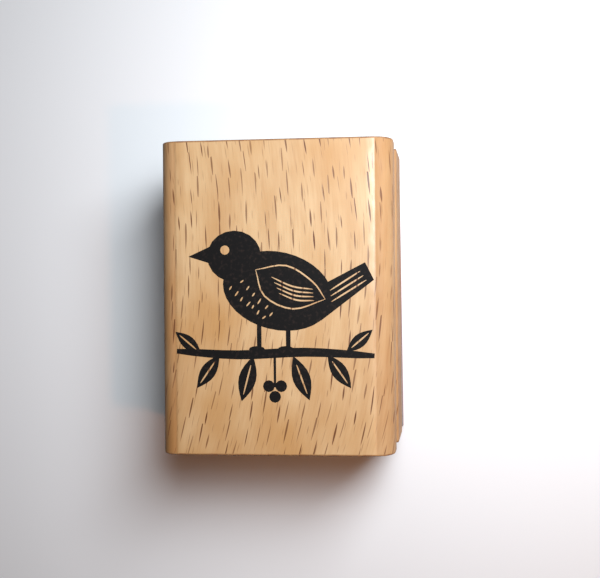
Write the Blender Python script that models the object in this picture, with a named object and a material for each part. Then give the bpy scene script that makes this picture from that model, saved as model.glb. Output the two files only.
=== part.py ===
"""Wood-mounted rubber stamp: a grooved beech block, a foam cushion between two adhesive films,
and a moulded rubber die whose raised drawing shows a plain bird on a leafy branch.

Units are metres. +Z is up, away from the paper, +Y runs along the wood's grain towards the top of
the drawing, and +X is to the right of the drawing. The origin is the middle of the printing face.
"""

import math
import random

import bmesh
import bpy
from mathutils import Matrix, Vector
from mathutils.geometry import delaunay_2d_cdt

MM = 0.001

# Wood block: one length cut from a grooved moulding.
BLOCK_WIDTH = 38 * MM  # X
BLOCK_LENGTH = 50.6 * MM  # Y, along the grain
BLOCK_HEIGHT = 20 * MM
TOP_RADIUS = 2.7 * MM  # round-over along both long top edges
GROOVE_RADIUS = 2.8 * MM  # cutter of the finger grooves
GROOVE_CENTRE_OUT = 0.6 * MM  # the cutter's centre lies this far outside the block's side
GROOVE_CENTRE_DOWN = 8.05 * MM  # and this far below the top face
ARRIS = 0.3 * MM  # sanded sharp edges

# Layers under the block.
CUSHION_THICK = 3 * MM
FILM_THICK = 0.15 * MM
SHEET_THICK = 1.6 * MM  # rubber behind the raised drawing
RELIEF_HEIGHT = 0.9 * MM
BOND_GAP = 0.05 * MM  # drawn between bonded faces
TRIM_INSET = 0.3 * MM  # the layers are trimmed this far inside the block's outline
FILM_INSET = 0.1 * MM  # the films end a little inside the foam and rubber
TRIM_SKEW = math.radians(0.4)  # they were stuck on by hand, not quite square
TRIM_SHIFT_X = 0.1 * MM

# Heights of the layers' undersides.
SHEET_FACE_Z = RELIEF_HEIGHT
DIE_TOP_Z = RELIEF_HEIGHT + SHEET_THICK
DIE_FILM_Z = DIE_TOP_Z + BOND_GAP
CUSHION_Z = DIE_FILM_Z + FILM_THICK + BOND_GAP
MOUNT_FILM_Z = CUSHION_Z + CUSHION_THICK + BOND_GAP
BLOCK_Z = MOUNT_FILM_Z + FILM_THICK + BOND_GAP

ROUND_STEPS = 12  # facets of a top round-over
GROOVE_STEPS = 16  # facets of a finger groove
ARRIS_STEPS = 2
ARRIS_ANGLE = math.radians(40)  # only edges sharper than this are sanded
SMOOTH_ANGLE = math.radians(30)

# Finishes: linear colour and roughness.
FINISHES = {
    "beech": ((0.78, 0.55, 0.32), 0.5),
    "adhesive_film": ((0.75, 0.72, 0.62), 0.25),
    "grey_foam": ((0.55, 0.56, 0.57), 0.9),
    "red_rubber": ((0.42, 0.09, 0.07), 0.6),
}

# Drawing, in millimetres as it prints: x right, y up, (0, 0) at the middle of the block.
SPAN_STEPS = 4  # pieces of a drawn curve between two of its points
TIP_SHARE = 0.3  # a pen line's end width, as a share of its full width
OVAL_SIDES = 12
BODY_SIDES = 36
HEAD_SIDES = 20
DASH_SIDES = 6
DASH_DRIFT = 0.16  # how far a short dash strays from its row
DASH_TURN = 14  # and from its direction, in degrees
DASH_LENGTHS = (0.7, 1.2)  # shortest and longest, as shares of the row's length
CUT_WIDTH = 0.26  # pale lines cut into the black areas
LEAF_STEPS = 8
LEAF_SLIMNESS = 0.19  # a leaf's greatest half width, as a share of its length
BERRY_RADIUS = 0.95
BERRIES = ((-1.0, -14.2), (1.0, -14.2), (0.0, -15.9))
LEAVES = (  # base, direction in degrees, length
    ((-12, -9), 140, 5.5),
    ((-9, -9.2), 235, 6.5),
    ((-3.5, -9.4), 255, 7.5),
    ((3, -9.4), 290, 7.5),
    ((8.5, -9.2), 305, 6.5),
    ((11.5, -8.8), 40, 5.5),
)
MERGE_MM = 1e-5


def clear_scene():
    """Removes every object of the open file."""
    for item in list(bpy.data.objects):
        bpy.data.objects.remove(item, do_unlink=True)


def material(name):
    """One of the finishes, as a non-metal surface."""
    colour, roughness = FINISHES[name]
    made = bpy.data.materials.new(name)
    made.use_nodes = True
    shader = made.node_tree.nodes["Principled BSDF"]
    shader.inputs["Base Color"].default_value = (*colour, 1)
    shader.inputs["Roughness"].default_value = roughness
    shader.inputs["Metallic"].default_value = 0
    return made


def add_object(name, shape, surface, parent=None):
    """Turns a bmesh into a named object with one material."""
    bmesh.ops.recalc_face_normals(shape, faces=shape.faces)
    mesh = bpy.data.meshes.new(name)
    shape.to_mesh(mesh)
    shape.free()
    mesh.materials.append(surface)
    made = bpy.data.objects.new(name, mesh)
    bpy.context.collection.objects.link(made)
    made.parent = parent
    return made


# ---------------------------------------------------------------- wood block


def arc(centre, radius, start, end, steps):
    """Points on a circle from one angle to another, both ends included."""
    turns = [start + (end - start) * step / steps for step in range(steps + 1)]
    return [(centre[0] + radius * math.cos(turn), centre[1] + radius * math.sin(turn)) for turn in turns]


def block_side():
    """The right half of the moulding's end, (x, z) from the top face's edge down to the base."""
    side = BLOCK_WIDTH / 2
    round_centre = (side - TOP_RADIUS, BLOCK_HEIGHT - TOP_RADIUS)
    groove_centre = (side + GROOVE_CENTRE_OUT, BLOCK_HEIGHT - GROOVE_CENTRE_DOWN)
    groove_start = math.acos(-GROOVE_CENTRE_OUT / GROOVE_RADIUS)
    points = arc(round_centre, TOP_RADIUS, math.pi / 2, 0, ROUND_STEPS)
    points += arc(groove_centre, GROOVE_RADIUS, groove_start, math.tau - groove_start, GROOVE_STEPS)
    points.append((side, 0))
    return points


def wood_block():
    """The moulding's outline pulled along the grain, with every sharp edge broken."""
    right = block_side()
    outline = right + [(-x, z) for x, z in reversed(right)]
    shape = bmesh.new()
    end = shape.faces.new([shape.verts.new((x, -BLOCK_LENGTH / 2, z)) for x, z in outline])
    pulled = bmesh.ops.extrude_face_region(shape, geom=[end], use_keep_orig=True)["geom"]
    moved = [item for item in pulled if isinstance(item, bmesh.types.BMVert)]
    bmesh.ops.translate(shape, verts=moved, vec=(0, BLOCK_LENGTH, 0))
    block = add_object("wood_block", shape, material("beech"))
    block.location.z = BLOCK_Z
    sanded = block.modifiers.new("sanded_edges", "BEVEL")
    sanded.width = ARRIS
    sanded.segments = ARRIS_STEPS
    sanded.limit_method = "ANGLE"
    sanded.angle_limit = ARRIS_ANGLE
    block.data.shade_smooth()
    block.data.set_sharp_from_angle(angle=SMOOTH_ANGLE)


# ---------------------------------------------------------------- layers


def trimmed_corners(inset):
    """The four corners of a layer, this far inside the block's outline and slightly askew."""
    half = Vector((BLOCK_WIDTH / 2 - inset, BLOCK_LENGTH / 2 - inset))
    turn = Matrix.Rotation(TRIM_SKEW, 2)
    signs = ((-1, -1), (1, -1), (1, 1), (-1, 1))
    return [turn @ Vector((sx * half.x, sy * half.y)) + Vector((TRIM_SHIFT_X, 0)) for sx, sy in signs]


def layer(name, inset, underside, thickness, surface, parent=None):
    """A flat layer with square-cut sides."""
    shape = bmesh.new()
    base = shape.faces.new([shape.verts.new((p.x, p.y, 0)) for p in trimmed_corners(inset)])
    pulled = bmesh.ops.extrude_face_region(shape, geom=[base], use_keep_orig=True)["geom"]
    moved = [item for item in pulled if isinstance(item, bmesh.types.BMVert)]
    bmesh.ops.translate(shape, verts=moved, vec=(0, 0, thickness))
    made = add_object(name, shape, surface, parent)
    made.location.z = underside


# ---------------------------------------------------------------- drawing


def curve_through(points, closed=False):
    """A smooth curve (Catmull-Rom) through hand-placed points."""
    knots = [Vector(p) for p in points]
    if closed:
        knots = [knots[-1], *knots, knots[0], knots[1]]
    else:
        knots = [2 * knots[0] - knots[1], *knots, 2 * knots[-1] - knots[-2]]
    curve = []
    for a, b, c, d in zip(knots, knots[1:], knots[2:], knots[3:]):
        for step in range(SPAN_STEPS):
            t = step / SPAN_STEPS
            bend = (2 * a - 5 * b + 4 * c - d) * t * t + (3 * b - a - 3 * c + d) * t**3
            curve.append((2 * b + (c - a) * t + bend) / 2)
    if not closed:
        curve.append(knots[-2])
    return curve


def pen_line(points, width, start=TIP_SHARE, end=TIP_SHARE):
    """A line whose width swells from its start share to full and falls to its end share."""
    middle = curve_through(points)
    last = len(middle) - 1
    left, right = [], []
    for i, point in enumerate(middle):
        along = middle[min(i + 1, last)] - middle[max(i - 1, 0)]
        across = Vector((-along.y, along.x)).normalized()
        t = i / last
        tip = start + (end - start) * t
        reach = width / 2 * (tip + (1 - tip) * math.sin(math.pi * t) ** 0.5)
        left.append(point + across * reach)
        right.append(point - across * reach)
    return left + right[::-1]


def oval(centre, long_half, short_half, lean=0.0, sides=OVAL_SIDES):
    """A solid oval, turned by lean degrees."""
    turn = Matrix.Rotation(math.radians(lean), 2)
    angles = [math.tau * i / sides for i in range(sides)]
    level = [Vector((long_half * math.cos(a), short_half * math.sin(a))) for a in angles]
    return [turn @ point + Vector(centre) for point in level]


def dashes(start, end, count, length, lean, width, seed):
    """A row of short slanted dashes from start to end, each a little out of line."""
    chance = random.Random(seed)
    drawn = []
    for i in range(count):
        place = Vector(start).lerp(Vector(end), i / (count - 1))
        place += Vector((chance.uniform(-1, 1), chance.uniform(-1, 1))) * DASH_DRIFT
        turn = lean + chance.uniform(-DASH_TURN, DASH_TURN)
        long_half = length / 2 * chance.uniform(*DASH_LENGTHS)
        drawn.append(oval(place, long_half, width / 2, turn, DASH_SIDES))
    return drawn


def fan(first, last, count, width, sag=(0, 0)):
    """Pen lines spread evenly between a first and a last one, each a (start, end) pair that bows
    sideways by sag."""
    drawn = []
    for i in range(count):
        share = i / (count - 1)
        start = Vector(first[0]).lerp(Vector(last[0]), share)
        end = Vector(first[1]).lerp(Vector(last[1]), share)
        drawn.append(pen_line([start, start.lerp(end, 0.5) + Vector(sag), end], width))
    return drawn


def leaf(base, lean, length):
    """A pointed leaf: its half width is a share of its length times the sine of the way along."""
    turn = Matrix.Rotation(math.radians(lean), 2)
    ways = [step / LEAF_STEPS for step in range(LEAF_STEPS + 1)]
    upper = [Vector((t, LEAF_SLIMNESS * math.sin(math.pi * t))) for t in ways]
    lower = [Vector((point.x, -point.y)) for point in reversed(upper[1:-1])]
    return [Vector(base) + (turn @ point) * length for point in upper + lower]


def midrib(base, lean, length):
    """The pale line down the middle of a leaf."""
    start = Vector(base)
    along = Matrix.Rotation(math.radians(lean), 2) @ Vector((length, 0))
    return pen_line([start + along * share for share in (0.2, 0.5, 0.85)], CUT_WIDTH)


def bird():
    """A round bird in solid black that faces left: body, head, beak, raised tail and straight legs."""
    beak = [(-10.0, 8.4), (-14.0, 6.6), (-10.2, 5.4)]
    tail = [(6.0, 1.0), (14.6, 5.4), (16.0, 2.6), (7.5, -3.8)]
    drawn = [
        oval((0.5, 1.0), 9.0, 6.2, -14, BODY_SIDES),
        oval((-6.5, 6.6), 4.4, 4.1, 0, HEAD_SIDES),
        [Vector(point) for point in beak],
        [Vector(point) for point in tail],
    ]
    for x in (-2.5, 2.2):
        drawn.append(pen_line([(x, -4.2), (x, -6.4), (x, -8.6)], 0.75, 0.9, 0.9))
        drawn.append(oval((x - 0.4, -8.3), 1.3, 0.5))
    return drawn


def branch():
    """A level branch with a row of leaves and three berries."""
    return [
        pen_line([(-16, -8.6), (-6, -9.2), (5, -8.8), (16, -9.4)], 1.5, 0.5, 0.5),
        pen_line([(0, -9.0), (0, -11.6), (0, -14.4)], 0.4, 0.9, 0.9),
        *[oval(place, BERRY_RADIUS, BERRY_RADIUS) for place in BERRIES],
        *[leaf(*shape) for shape in LEAVES],
    ]


def ink():
    """Every black area of the picture, as closed outlines that may overlap."""
    return [*bird(), *branch()]


def cuts():
    """The pale lines cut into the black areas: eye, wing, breast, tail and the leaves' midribs."""
    return [
        oval((-8.0, 7.6), 0.75, 0.75),
        pen_line([(-3.0, 4.4), (2.0, 5.0), (6.2, 2.4), (8.2, -0.4)], CUT_WIDTH),
        pen_line([(-3.0, 4.4), (-1.6, 0.2), (3.0, -1.9), (8.2, -0.4)], CUT_WIDTH),
        *fan(((-0.4, 3.2), (6.2, 1.2)), ((0.8, 0.6), (6.4, -0.6)), 4, CUT_WIDTH, (0, -0.5)),
        *dashes((-7.0, 1.4), (-1.6, -3.2), 7, 1.0, 50, CUT_WIDTH, 1),
        *dashes((-5.4, 2.4), (-0.4, -2.6), 6, 1.0, 50, CUT_WIDTH, 2),
        *fan(((9.0, 1.0), (13.8, 4.0)), ((9.2, -0.8), (14.8, 2.6)), 3, CUT_WIDTH),
        *[midrib(*shape) for shape in LEAVES],
    ]


# ---------------------------------------------------------------- rubber die


def counter_clockwise(outline):
    """The outline in the order that has its inside on the left."""
    area = sum(a.cross(b) for a, b in zip(outline, outline[1:] + outline[:1]))
    return outline if area > 0 else outline[::-1]


def rubber_die(parent):
    """A rubber sheet with the drawing raised on its underside.

    The sheet's face is cut into triangles along every outline, and those that lie inside any ink
    outline, but inside no cut, are pulled down to the printing face.
    """
    sheet = [corner / MM for corner in trimmed_corners(TRIM_INSET)]
    black = ink()
    points, areas = [], []
    for outline in [sheet, *map(counter_clockwise, black + cuts())]:
        areas.append(list(range(len(points), len(points) + len(outline))))
        points += outline
    flat, _, triangles, _, _, owners = delaunay_2d_cdt(points, [], areas, 1, MERGE_MM)
    shape = bmesh.new()
    corners = [shape.verts.new((p.x * MM, p.y * MM, 0)) for p in flat]
    faces = [shape.faces.new([corners[i] for i in triangle]) for triangle in triangles]
    raised = [face for face, owned_by in zip(faces, owners) if 1 <= max(owned_by) <= len(black)]
    pulled = bmesh.ops.extrude_face_region(shape, geom=raised)["geom"]
    print_face = [item for item in pulled if isinstance(item, bmesh.types.BMVert)]
    bmesh.ops.translate(shape, verts=print_face, vec=(0, 0, -RELIEF_HEIGHT))
    bmesh.ops.delete(shape, geom=raised, context="FACES")
    rim = [edge for edge in shape.edges if edge.is_boundary]
    sides = bmesh.ops.extrude_edge_only(shape, edges=rim)["geom"]
    back = [item for item in sides if isinstance(item, bmesh.types.BMVert)]
    bmesh.ops.translate(shape, verts=back, vec=(0, 0, SHEET_THICK))
    bmesh.ops.contextual_create(shape, geom=[edge for edge in shape.edges if edge.is_boundary])
    die = add_object("rubber_die", shape, material("red_rubber"), parent)
    die.location.z = SHEET_FACE_Z


def main():
    clear_scene()
    press = bpy.data.objects.new("press_slide", None)
    bpy.context.collection.objects.link(press)
    film = material("adhesive_film")
    foam = material("grey_foam")
    wood_block()
    layer("mount_adhesive", TRIM_INSET + FILM_INSET, MOUNT_FILM_Z, FILM_THICK, film)
    layer("foam_cushion", TRIM_INSET, CUSHION_Z, CUSHION_THICK, foam)
    layer("die_adhesive", TRIM_INSET + FILM_INSET, DIE_FILM_Z, FILM_THICK, film, press)
    rubber_die(press)


main()
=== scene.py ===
"""Looks of a wood-mounted rubber stamp: sealed beech block with its index print, foam cushion,
adhesive films and a moulded rubber die. Metres, +Z up, +Y along the grain."""
import math

import bpy
import numpy as np
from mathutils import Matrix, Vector


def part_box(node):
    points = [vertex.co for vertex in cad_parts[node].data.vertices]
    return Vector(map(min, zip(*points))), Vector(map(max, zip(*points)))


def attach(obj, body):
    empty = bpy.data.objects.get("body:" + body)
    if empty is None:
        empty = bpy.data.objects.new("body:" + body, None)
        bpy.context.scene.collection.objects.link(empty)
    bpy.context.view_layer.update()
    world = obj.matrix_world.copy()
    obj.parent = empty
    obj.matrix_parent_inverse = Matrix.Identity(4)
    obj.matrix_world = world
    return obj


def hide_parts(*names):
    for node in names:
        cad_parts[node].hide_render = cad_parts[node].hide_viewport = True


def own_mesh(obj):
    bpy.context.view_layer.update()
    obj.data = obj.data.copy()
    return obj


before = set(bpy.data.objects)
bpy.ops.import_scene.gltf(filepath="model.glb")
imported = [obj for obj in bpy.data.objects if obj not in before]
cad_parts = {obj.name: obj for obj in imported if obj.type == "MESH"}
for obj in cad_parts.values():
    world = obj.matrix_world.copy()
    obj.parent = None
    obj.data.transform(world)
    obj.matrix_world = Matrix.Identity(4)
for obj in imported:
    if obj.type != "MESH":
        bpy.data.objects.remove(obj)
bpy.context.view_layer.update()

MM = 0.001


# ---------------------------------------------------------------- helpers


def hex_colour(code):
    """An sRGB hex colour as linear RGBA."""
    parts = np.array([int(code[i:i + 2], 16) / 255 for i in (1, 3, 5)])
    linear = np.where(parts <= 0.04045, parts / 12.92, ((parts + 0.055) / 1.055) ** 2.4)
    return (*linear, 1.0)


def new_material(name):
    """An empty node material; returns it with its tree."""
    made = bpy.data.materials.new(name)
    made.use_nodes = True
    made.node_tree.nodes.clear()
    return made, made.node_tree


def node(tree, kind, settings=None, **inputs):
    """Adds a node. settings are its properties; inputs are values or other nodes' outputs, where
    an input's name has _ for a space, or i and its number."""
    made = tree.nodes.new(kind)
    for key, value in (settings or {}).items():
        setattr(made, key, value)
    for key, value in inputs.items():
        by_number = key[0] == "i" and key[1:].isdigit()
        socket = made.inputs[int(key[1:])] if by_number else made.inputs[key.replace("_", " ")]
        if isinstance(value, bpy.types.NodeSocket):
            tree.links.new(value, socket)
        else:
            socket.default_value = value
    return made


def maths(tree, operation, *values, clamp=False):
    """One Math node's result."""
    inputs = {f"i{i}": value for i, value in enumerate(values)}
    return node(tree, "ShaderNodeMath", {"operation": operation, "use_clamp": clamp}, **inputs).outputs[0]


def ramp(tree, value, low, high, to_low=0.0, to_high=1.0):
    """Smooth step of a value from one range to another."""
    return node(tree, "ShaderNodeMapRange", {"interpolation_type": "SMOOTHSTEP"}, i0=value, i1=low,
                i2=high, i3=to_low, i4=to_high).outputs[0]


def mix(tree, share, a, b, blend="MIX"):
    """Colour b over colour a by a share from 0 to 1."""
    made = node(tree, "ShaderNodeMix", {"data_type": "RGBA", "blend_type": blend}, i0=share)
    for socket, value in ((made.inputs[6], a), (made.inputs[7], b)):
        if isinstance(value, bpy.types.NodeSocket):
            tree.links.new(value, socket)
        else:
            socket.default_value = value
    return made.outputs[2]


def closed_tube(rows, columns):
    """Faces of a stack of closed rings: quads between each ring and the next, and one flat face over
    each end."""
    r = np.arange(rows - 1)[:, None] * columns
    c = np.arange(columns)[None, :]
    right = (c + 1) % columns
    sides = np.stack([r + c, r + right, r + columns + right, r + columns + c], axis=-1).reshape(-1, 4)
    last = c[0] + (rows - 1) * columns
    return [*sides.tolist(), c[0, ::-1].tolist(), last.tolist()]


def mesh_object(name, points, faces, attributes=None):
    """A named smooth object from points and faces, with float point attributes."""
    mesh = bpy.data.meshes.new(name)
    mesh.from_pydata(points.tolist(), [], faces)
    for key, values in (attributes or {}).items():
        mesh.attributes.new(key, "FLOAT", "POINT").data.foreach_set("value", np.asarray(values, np.float32))
    mesh.shade_smooth()
    made = bpy.data.objects.new(name, mesh)
    bpy.context.scene.collection.objects.link(made)
    return made


def cad_points(name):
    """A CAD node's points as an array."""
    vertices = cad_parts[name].data.vertices
    points = np.empty(len(vertices) * 3, np.float32)
    vertices.foreach_get("co", points)
    return points.reshape(-1, 3).astype(float)


# ---------------------------------------------------------------- camera, floor, lights

BLOCK_LOW, BLOCK_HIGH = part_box("wood_block")
TOP_Z = BLOCK_HIGH.z

CAMERA_SIDE = 27.2 * MM  # the lens hangs over a point to the right of the block
CAMERA_UP_PAGE = 0.9 * MM
CAMERA_HEIGHT = 113.9 * MM  # above the block's top face
CAMERA_TURN = (0.0013, 0.0794, -0.0088)
LENS_MM = 43.53  # on a sensor 36 mm wide
SENSOR_MM = 36
SHIFT_X = -0.146  # the view is cropped: its middle lies left of the lens axis, in widths


def add_camera():
    """A close hand-held view from nearly straight above."""
    data = bpy.data.cameras.new("camera")
    data.sensor_width = SENSOR_MM
    data.lens = LENS_MM
    data.shift_x = SHIFT_X
    data.clip_start = 5 * MM
    camera = bpy.data.objects.new("camera", data)
    camera.location = (CAMERA_SIDE, CAMERA_UP_PAGE, TOP_Z + CAMERA_HEIGHT)
    camera.rotation_euler = CAMERA_TURN
    bpy.context.scene.collection.objects.link(camera)
    bpy.context.scene.camera = camera


FLOOR_SIZE = 1.6
FLOOR_Z = -0.02 * MM  # just clear of the printing face


def add_floor():
    """Smooth white card under the stamp."""
    half = FLOOR_SIZE / 2
    corners = np.array([(-half, -half, FLOOR_Z), (half, -half, FLOOR_Z), (half, half, FLOOR_Z),
                        (-half, half, FLOOR_Z)])
    floor = mesh_object("floor", corners, [(0, 1, 2, 3)])
    card, tree = new_material("white_card")
    shader = node(tree, "ShaderNodeBsdfPrincipled", Base_Color=hex_colour("#e6e5e6"), Roughness=0.85)
    node(tree, "ShaderNodeOutputMaterial", Surface=shader.outputs[0])
    floor.data.materials.append(card)


def area_light(name, place, size, power, colour):
    """A soft rectangular light aimed at the origin; place and size in millimetres."""
    data = bpy.data.lights.new(name, "AREA")
    data.shape = "RECTANGLE"
    data.size, data.size_y = np.array(size) * MM
    data.energy = power
    data.color = hex_colour(colour)[:3]
    light = bpy.data.objects.new(name, data)
    light.location = Vector(place) * MM
    light.rotation_euler = (-light.location).to_track_quat("-Z", "Y").to_euler()
    light.visible_camera = False
    bpy.context.scene.collection.objects.link(light)


LIGHTS = (  # name, place and size in millimetres, watts, colour
    ("window_light", (60, 52, 135), (58, 90), 0.408, "#f1f9ff"),
    ("lamp", (108, -50, 174), (11, 11), 0.061, "#ff9e4a"),
    ("front_fill", (60, -380, 70), (240, 120), 0.2, "#fff4e6"),
)
ROOM_GLOW = 0.025


def add_lights():
    """A broad cool window from the upper right, a small warm lamp from the lower right, a low weak
    fill on the front, and a weak glow from all round."""
    for light in LIGHTS:
        area_light(*light)
    world = bpy.data.worlds.new("room")
    world.use_nodes = True
    background = world.node_tree.nodes["Background"]
    background.inputs["Color"].default_value = hex_colour("#f2f4ff")
    background.inputs["Strength"].default_value = ROOM_GLOW
    bpy.context.scene.world = world
    bpy.context.scene.view_settings.view_transform = "Standard"


# ---------------------------------------------------------------- wood block

TOP_RADIUS = 2.7 * MM
QUIRK_WIDTH = 0.45 * MM  # the cutter leaves a slight step down where the round-over starts
QUIRK_DROP = 0.1 * MM
QUIRK_WAVER = 0.03 * MM  # the cutter chattered, so the step is uneven along the grain
GROOVE_RADIUS = 2.8 * MM
GROOVE_CENTRE_OUT = 0.6 * MM
GROOVE_CENTRE_DOWN = 8.05 * MM
ARRIS = 0.3 * MM
END_ARRIS = 0.2 * MM
END_RIM = 0.24 * MM
INK_THICK = 0.012 * MM
FACE_Z = TOP_Z - INK_THICK
LONG_STEP = 1.2 * MM  # points on the outline's flats lie no further apart than this
RING_STEP = 0.5 * MM  # outlines are this far apart along the grain
END_MARGIN = 1 * MM  # but none lie this near an end, apart from the arris's own
CHATTER_LENGTHS = (0.31, 0.53, 0.97, 2.1)  # millimetres per radian
SOAK = 0.15 * MM  # the end tone reaches this far past the arris


def arc_points(centre, radius, start, end, steps):
    """Points on a circle from one angle to another."""
    turn = np.linspace(start, end, steps + 1)
    return np.stack([centre[0] + radius * np.cos(turn), centre[1] + radius * np.sin(turn)], axis=1)


def block_outline():
    """Half of the moulding's end, (x, z) from the middle of the top round to the middle of the base:
    a flat, a small slanted step, a quarter circle, a flat, a groove of a circle's inner side, a flat,
    and the base. Each lip of the groove is an arc that touches the side and the groove's circle."""
    side, base = BLOCK_HIGH.x, BLOCK_LOW.z
    quarter = math.pi / 2
    share = np.linspace(0, 1, 5)
    quirk = np.stack([side - TOP_RADIUS - QUIRK_WIDTH * (1 - share), FACE_Z - QUIRK_DROP * share], axis=1)
    round_centre = (side - TOP_RADIUS, FACE_Z - QUIRK_DROP - TOP_RADIUS)
    round_over = arc_points(round_centre, TOP_RADIUS, quarter, 0, 24)
    centre = (side + GROOVE_CENTRE_OUT, TOP_Z - GROOVE_CENTRE_DOWN)
    lip = math.acos((GROOVE_CENTRE_OUT + ARRIS) / (GROOVE_RADIUS + ARRIS))
    mouth = (GROOVE_RADIUS + ARRIS) * math.sin(lip)
    groove = arc_points(centre, GROOVE_RADIUS, math.pi - lip, math.pi + lip, 30)
    upper = arc_points((side - ARRIS, centre[1] + mouth), ARRIS, 0, -lip, 6)
    lower = arc_points((side - ARRIS, centre[1] - mouth), ARRIS, lip, 0, 6)
    foot = arc_points((side - ARRIS, base + ARRIS), ARRIS, 0, -quarter, 4)
    parts = [[(0, FACE_Z)], quirk, round_over[1:], upper, groove[1:-1], lower, foot, [(0, base)]]
    return np.concatenate(parts)


def resampled(line, step):
    """The line with points added along its long stretches, no further apart than step."""
    pieces = []
    for a, b in zip(line[:-1], line[1:]):
        count = max(1, math.ceil(float(np.linalg.norm(b - a)) / step))
        pieces.append(a + (b - a) * np.linspace(0, 1, count, endpoint=False)[:, None])
    return np.concatenate([*pieces, line[-1:]])


def outward(line):
    """Unit normals of a closed clockwise outline: each point's tangent turned a quarter turn."""
    tangent = np.roll(line, -1, axis=0) - np.roll(line, 1, axis=0)
    tangent /= np.linalg.norm(tangent, axis=1)[:, None]
    return np.stack([-tangent[:, 1], tangent[:, 0]], axis=1)


def make_block():
    """The outline carried along the grain. Near each end it shrinks inwards by a quarter circle of the
    arris radius, and each end is closed by a smaller ring and one flat face. The step where the round-over
    starts wavers along the grain as a sum of sines."""
    half = resampled(block_outline(), LONG_STEP)
    outline = np.concatenate([half, (half * (-1, 1))[-2:0:-1]])
    normal = outward(outline)
    length_half = BLOCK_HIGH.y
    turn = np.linspace(0, math.pi / 2, 5)
    middle = np.arange(-length_half + END_MARGIN, length_half - END_MARGIN, RING_STEP)
    rim_y = length_half - END_ARRIS * (1 - np.sin(turn))
    rim_inset = END_ARRIS * (1 - np.cos(turn))
    soak_y = rim_y[0] - SOAK
    y = np.concatenate([[-length_half], -rim_y[::-1], [-soak_y], middle, [soak_y], rim_y, [length_half]])
    inset = np.concatenate([[END_RIM], rim_inset[::-1], np.zeros(len(middle) + 2), rim_inset, [END_RIM]])
    rings = outline[None] - normal[None] * inset[:, None, None]
    points = np.stack([rings[..., 0], np.broadcast_to(y[:, None], rings.shape[:2]), rings[..., 1]], axis=-1)
    rows, columns = points.shape[:2]
    fallen = np.clip((FACE_Z - outline[:, 1]) / QUIRK_DROP, 0, 1)
    chatter = sum(np.sin(y / (length * MM) + length) for length in CHATTER_LENGTHS) / len(CHATTER_LENGTHS)
    points[..., 2] += QUIRK_WAVER * chatter[:, None] * 4 * (fallen * (1 - fallen))[None]
    end_grain = np.clip((np.abs(y) - soak_y) / SOAK, 0, 1)
    # Painted shade: a dark band on the outer rings of the end arrises, where they turn away from the light.
    painted_arris_shade = np.clip(2 * inset / END_ARRIS, 0, 1) * (inset < END_RIM)
    spans = np.linalg.norm(np.diff(half, axis=0), axis=1)
    girth = np.concatenate([[0], np.cumsum(spans)])
    girth = np.concatenate([girth, -girth[-2:0:-1]])
    return mesh_object("beech_block", points.reshape(-1, 3), closed_tube(rows, columns),
                       {"end_grain": np.repeat(end_grain, columns), "painted_arris_shade": np.repeat(painted_arris_shade, columns),
                        "moulded": np.tile(fallen, rows), "girth": np.tile(girth, rows)})


RAY_TILT = 0.5  # sideways drift of the rays per height: they stand 27 degrees off vertical
GRAIN_LEAN = 0.07  # sideways drift of the grain per length at the block's middle
GRAIN_BEND = 4.2  # per metre: the lean turns along the block as on a gentle parabola
# Flecks: cell size across and along, greatest half width, half length and pattern offset, in mm.
LARGE_FLECKS = (2.4, 3.9, 0.145, 2.5, 0.0)
SMALL_FLECKS = (1.9, 3.1, 0.08, 1.4, 7.3)
SMALL_FLECK_SHADE = 0.5  # how dark the small ones are beside the large ones
RING_SPACING = 2.5 * MM


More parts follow.
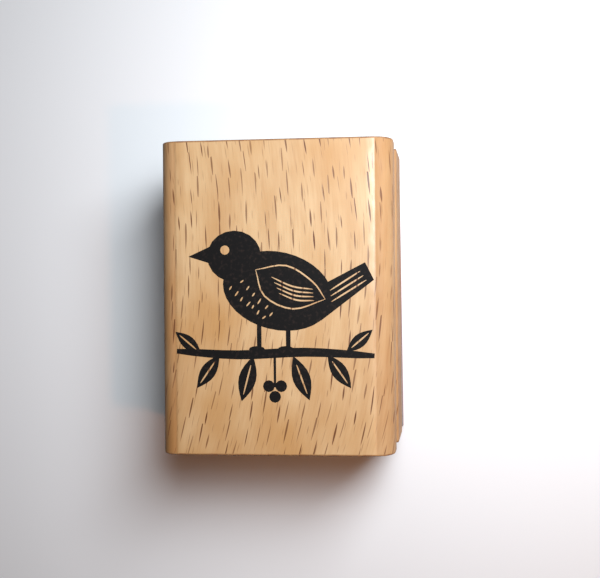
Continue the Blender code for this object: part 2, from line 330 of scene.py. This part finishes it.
def beech():
    """Beech, sawn between flat and quarter and sanded, under a thin satin sealer: pale pinkish tan
    with short dark ray flecks along the grain, fine ray lines and growth rings on the ends."""
    made, tree = new_material("sealed_beech")
    place = node(tree, "ShaderNodeTexCoord").outputs["Object"]
    x, y, z = node(tree, "ShaderNodeSeparateXYZ", Vector=place).outputs
    girth = node(tree, "ShaderNodeAttribute", {"attribute_name": "girth"}).outputs["Fac"]
    across = grain_lines(tree, girth, y)
    radial = maths(tree, "MULTIPLY_ADD", x, -RAY_TILT, z)
    small = maths(tree, "MULTIPLY", ray_flecks(tree, across, y, *SMALL_FLECKS), SMALL_FLECK_SHADE)
    flecks = maths(tree, "MAXIMUM", ray_flecks(tree, across, y, *LARGE_FLECKS), small)
    fine = noise(tree, across, y, radial, (3300, 190, 900), 4.0)
    bands = noise(tree, across, y, radial, (330, 45, 300), 3.0)
    clouds = noise(tree, x, y, z, (75, 55, 60), 2.0)
    moulded = node(tree, "ShaderNodeAttribute", {"attribute_name": "moulded"}).outputs["Fac"]
    # Painted shade: the tone darkens and warms towards -y across the top. On the moulded sides the slope
    # turns with x: the right side darkens towards +y and the left side darkens more steeply towards -y.
    # clouds adds random tone.
    painted_shade_slope = maths(tree, "MULTIPLY_ADD", maths(tree, "MULTIPLY", moulded, x), 280.0, -2.8)
    clouds_and_painted_shade = maths(tree, "MULTIPLY_ADD", y, painted_shade_slope, clouds)
    tone = mix(tree, ramp(tree, bands, 0.3, 0.72), hex_colour("#c3a37b"), hex_colour("#b59067"))
    tone = mix(tree, ramp(tree, clouds_and_painted_shade, 0.3, 0.75, 0.0, 0.85), tone, hex_colour("#ac7e4a"))
    tone = mix(tree, ramp(tree, fine, 0.42, 0.78, 0.0, 0.28), tone, hex_colour("#9c6e43"))
    # Painted shade: the moulded sides are multiplied darker than the top face.
    tone = mix(tree, maths(tree, "MULTIPLY", moulded, 0.6), tone, hex_colour("#d6bfa8"), "MULTIPLY")
    long_grain = mix(tree, flecks, tone, hex_colour("#5a3015"))
    end = node(tree, "ShaderNodeAttribute", {"attribute_name": "end_grain"}).outputs["Fac"]
    painted_arris_shade = node(tree, "ShaderNodeAttribute", {"attribute_name": "painted_arris_shade"}).outputs["Fac"]
    ray_side = maths(tree, "MULTIPLY_ADD", z, RAY_TILT, x)
    colour = mix(tree, end, long_grain, end_grain_colour(tree, ray_side, radial, place))
    # Painted shade darkens the end arrises.
    colour = mix(tree, maths(tree, "MULTIPLY", painted_arris_shade, 0.85), colour, hex_colour("#4f2e17"))
    height = maths(tree, "MULTIPLY_ADD", flecks, -1.0, maths(tree, "MULTIPLY", fine, 0.5))
    height = maths(tree, "MULTIPLY", height, maths(tree, "SUBTRACT", 1.0, end))
    bump = node(tree, "ShaderNodeBump", Height=height, Strength=0.3, Distance=0.04 * MM)
    patchy = noise(tree, x, y, z, (500, 260, 500), 3.0)
    past_step = ramp(tree, moulded, 0.8, 1.0)
    bare = maths(tree, "MAXIMUM", past_step, end)
    roughness = maths(tree, "MULTIPLY_ADD", bare, 0.25, ramp(tree, patchy, 0.35, 0.65, 0.36, 0.52))
    coat = maths(tree, "MULTIPLY_ADD", bare, -0.6, 0.65)
    shader = node(tree, "ShaderNodeBsdfPrincipled", Base_Color=colour, Roughness=roughness,
                  Normal=bump.outputs[0], Coat_Weight=coat, Coat_Roughness=0.4, Specular_IOR_Level=0.3)
    node(tree, "ShaderNodeOutputMaterial", Surface=shader.outputs[0])
    return made


def end_grain_colour(tree, across, radial, place):
    """Darker, open end grain: latewood rings about 2.5 mm apart, crossed by fine pale ray lines."""
    wavy = maths(tree, "MULTIPLY_ADD", noise(tree, across, 0.0, radial, (90, 1, 60), 2.0), 2.2 * MM, radial)
    ring = maths(tree, "FRACT", maths(tree, "DIVIDE", wavy, RING_SPACING))
    late = maths(tree, "MULTIPLY", ramp(tree, ring, 0.45, 0.95), ramp(tree, ring, 1.0, 0.95))
    tone = mix(tree, late, hex_colour("#98704a"), hex_colour("#83593a"))
    rays = noise(tree, across, 0.0, radial, (5200, 1, 260), 2.0)
    tone = mix(tree, ramp(tree, rays, 0.55, 0.7, 0.0, 0.6), tone, hex_colour("#c0935f"))
    pores = node(tree, "ShaderNodeTexNoise", Vector=place, Scale=9000.0, Detail=2.0).outputs["Fac"]
    return mix(tree, ramp(tree, pores, 0.5, 0.7, 0.0, 0.55), tone, hex_colour("#6b4527"))


def combine(tree, values, scales):
    """Three coordinates, each times its own scale, as a vector."""
    scaled = [value * scale if isinstance(value, float) else maths(tree, "MULTIPLY", value, scale)
              for value, scale in zip(values, scales)]
    return node(tree, "ShaderNodeCombineXYZ", X=scaled[0], Y=scaled[1], Z=scaled[2]).outputs[0]


def noise(tree, x, y, z, scales, detail):
    """Noise from 0 to 1 with its own scale, per metre, along each coordinate."""
    return node(tree, "ShaderNodeTexNoise", Vector=combine(tree, (x, y, z), scales), Scale=1.0,
                Detail=detail, Roughness=0.6).outputs["Fac"]


def grain_lines(tree, girth, y):
    """Distance across the grain: the distance round the outline, - lean y + bend y^2, and a slow
    wander. Its level lines are gently curved and run the length of the block."""
    wander = maths(tree, "MULTIPLY", noise(tree, girth, y, 0.0, (70, 45, 1), 1.0), 1.4 * MM)
    leaned = maths(tree, "MULTIPLY_ADD", y, -GRAIN_LEAN, maths(tree, "ADD", girth, wander))
    return maths(tree, "MULTIPLY_ADD", maths(tree, "MULTIPLY", y, y), GRAIN_BEND, leaned)


def ray_flecks(tree, across, y, cell_x, cell_y, half_width, half_length, offset):
    """Spindles, one in each cell of a jittered grid (sizes in millimetres): dark where the distance
    across is under half_width (1 - (distance along / half_length)^2)."""
    across_mm = maths(tree, "MULTIPLY_ADD", across, 1 / MM, offset)
    y_mm = maths(tree, "MULTIPLY", y, 1 / MM)
    cells = combine(tree, (across_mm, y_mm, 0.0), (1 / cell_x, 1 / cell_y, 1))
    voronoi = node(tree, "ShaderNodeTexVoronoi", {"voronoi_dimensions": "2D"}, Vector=cells, Scale=1.0,
                   Randomness=0.85)
    centre = node(tree, "ShaderNodeSeparateXYZ", Vector=voronoi.outputs["Position"])
    chance = node(tree, "ShaderNodeSeparateColor", Color=voronoi.outputs["Color"]).outputs
    dx = maths(tree, "MULTIPLY_ADD", centre.outputs[0], -cell_x, across_mm)
    dy = maths(tree, "MULTIPLY_ADD", centre.outputs[1], -cell_y, y_mm)
    own_lean = maths(tree, "MULTIPLY_ADD", chance[0], 0.1, -0.05)
    dx = maths(tree, "MULTIPLY_ADD", dy, own_lean, dx)
    length = maths(tree, "MULTIPLY_ADD", chance[1], half_length * 0.75, half_length * 0.45)
    share = maths(tree, "DIVIDE", dy, length)
    taper = maths(tree, "SUBTRACT", 1.0, maths(tree, "MULTIPLY", share, share))
    widest = maths(tree, "MULTIPLY_ADD", chance[2], half_width * 0.6, half_width * 0.6)
    width = maths(tree, "MULTIPLY", taper, widest)
    depth = maths(tree, "SUBTRACT", width, maths(tree, "ABSOLUTE", dx))
    shade = maths(tree, "MULTIPLY_ADD", chance[0], 0.45, 0.55)
    return maths(tree, "MULTIPLY", ramp(tree, depth, -0.02, 0.055), shade)


# ---------------------------------------------------------------- index print

PRINTING_LEVEL = 0.01 * MM  # faces of the die this near its lowest level are the ones that print


def make_index_print():
    """The die's printing faces, lifted straight up on to the block: what the die prints is what the
    top shows, the same way round."""
    points = cad_points("rubber_die")
    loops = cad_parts["rubber_die"].data.loops
    corners = np.empty(len(loops), np.int32)
    loops.foreach_get("vertex_index", corners)
    faces = corners.reshape(-1, 3)
    printing = np.abs(points[faces][:, :, 2]).max(axis=1) < PRINTING_LEVEL
    used, index = np.unique(faces[printing], return_inverse=True)
    lifted = points[used] * (1, 1, 0) + (0, 0, TOP_Z)
    return mesh_object("index_print", lifted, index.reshape(-1, 3)[:, ::-1].tolist())


def stamping_ink():
    """Black pigment ink soaked into the wood: nearly black, a little brown where it is thin."""
    made, tree = new_material("black_pigment_ink")
    place = node(tree, "ShaderNodeTexCoord").outputs["Object"]
    thin = node(tree, "ShaderNodeTexNoise", Vector=place, Scale=1800.0, Detail=3.0).outputs["Fac"]
    colour = mix(tree, ramp(tree, thin, 0.5, 0.75), hex_colour("#0c0a0a"), hex_colour("#211916"))
    shader = node(tree, "ShaderNodeBsdfPrincipled", Base_Color=colour, Roughness=0.65,
                  Specular_IOR_Level=0.15)
    node(tree, "ShaderNodeOutputMaterial", Surface=shader.outputs[0])
    return made


# ---------------------------------------------------------------- soft layers and die


FOAM_CORNER = 0.25 * MM  # the slab's upright corners are rounded this much
FOAM_WAIST = 0.12 * MM  # its cut sides draw in this much at mid height


def cad_corners(name):
    """The four outline corners of a flat CAD layer, anticlockwise from above."""
    corners = np.unique(cad_points(name)[:, :2].round(7), axis=0)
    return corners[np.argsort(np.arctan2(corners[:, 1], corners[:, 0]))]


def make_cushion():
    """The foam slab: a rectangle with rounded corners. Its sides draw in by a parabola of the height,
    and each corner is a quadratic curve from a point before it to a point after it."""
    low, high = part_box("foam_cushion")
    corners = cad_corners("foam_cushion")
    after = np.roll(corners, -1, axis=0) - corners
    after /= np.linalg.norm(after, axis=1)[:, None]
    before = -np.roll(after, 1, axis=0)
    t = np.linspace(0, 1, 5)[:, None]
    rounding = FOAM_CORNER * ((1 - t) ** 2 * before[:, None] + t**2 * after[:, None])
    share = np.linspace(0, 1, 9)[:, None, None, None]
    waist = FOAM_WAIST * 4 * share * (1 - share) * (before + after)[:, None]
    rings = (corners[:, None] + rounding + waist).reshape(len(share), -1, 2)
    heights = np.broadcast_to(low.z + (high.z - low.z) * share[:, 0], (*rings.shape[:2], 1))
    points = np.concatenate([rings, heights], axis=-1)
    return mesh_object("foam_pad", points.reshape(-1, 3), closed_tube(*points.shape[:2]))


def foam():
    """Grey closed-cell foam with cut sides: matt, finely pitted."""
    made, tree = new_material("closed_cell_foam")
    place = node(tree, "ShaderNodeTexCoord").outputs["Object"]
    cells = node(tree, "ShaderNodeTexVoronoi", Vector=place, Scale=6000.0).outputs["Distance"]
    colour = mix(tree, ramp(tree, cells, 0.1, 0.7), hex_colour("#878889"), hex_colour("#a4a5a4"))
    bump = node(tree, "ShaderNodeBump", Height=cells, Strength=0.4, Distance=0.05 * MM)
    shader = node(tree, "ShaderNodeBsdfPrincipled", Base_Color=colour, Roughness=0.95,
                  Normal=bump.outputs[0])
    node(tree, "ShaderNodeOutputMaterial", Surface=shader.outputs[0])
    return made


def adhesive():
    """Clear acrylic adhesive on a thin carrier: milky, slightly glossy."""
    made, tree = new_material("acrylic_adhesive_film")
    place = node(tree, "ShaderNodeTexCoord").outputs["Object"]
    milk = node(tree, "ShaderNodeTexNoise", Vector=place, Scale=900.0, Detail=2.0).outputs["Fac"]
    colour = mix(tree, milk, hex_colour("#c9c2ae"), hex_colour("#e6e1d2"))
    shader = node(tree, "ShaderNodeBsdfPrincipled", Base_Color=colour, Roughness=0.3)
    node(tree, "ShaderNodeOutputMaterial", Surface=shader.outputs[0])
    return made


def rubber():
    """Vulcanised stamp rubber, brick red and matt from the mould, with old ink on what prints."""
    made, tree = new_material("vulcanised_rubber")
    place = node(tree, "ShaderNodeTexCoord").outputs["Object"]
    z = node(tree, "ShaderNodeSeparateXYZ", Vector=place).outputs[2]
    mottle = node(tree, "ShaderNodeTexNoise", Vector=place, Scale=260.0, Detail=4.0).outputs["Fac"]
    skin = node(tree, "ShaderNodeTexNoise", Vector=place, Scale=5200.0, Detail=2.0).outputs["Fac"]
    red = mix(tree, ramp(tree, mottle, 0.3, 0.75), hex_colour("#9a4436"), hex_colour("#82382c"))
    near_paper = ramp(tree, z, 0.25 * MM, 0.02 * MM)
    inked = maths(tree, "MULTIPLY", near_paper, ramp(tree, mottle, 0.2, 0.6, 0.95, 0.6))
    colour = mix(tree, inked, red, hex_colour("#1d1413"))
    bump = node(tree, "ShaderNodeBump", Height=skin, Strength=0.25, Distance=0.03 * MM)
    shader = node(tree, "ShaderNodeBsdfPrincipled", Base_Color=colour, Roughness=0.62,
                  Normal=bump.outputs[0])
    node(tree, "ShaderNodeOutputMaterial", Surface=shader.outputs[0])
    return made


def dress(piece, material):
    """Gives a piece one material in place of any it has."""
    piece.data.materials.clear()
    piece.data.materials.append(material)


# ---------------------------------------------------------------- assembly

add_camera()
add_floor()
add_lights()

block = make_block()
dress(block, beech())
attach(block, "block")
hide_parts("wood_block")

ink = make_index_print()
dress(ink, stamping_ink())
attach(ink, "block")

cushion = make_cushion()
dress(cushion, foam())
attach(cushion, "block")
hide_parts("foam_cushion")
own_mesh(cushion)

film = adhesive()
dress(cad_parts["mount_adhesive"], film)
dress(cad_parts["die_adhesive"], film)
dress(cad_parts["rubber_die"], rubber())
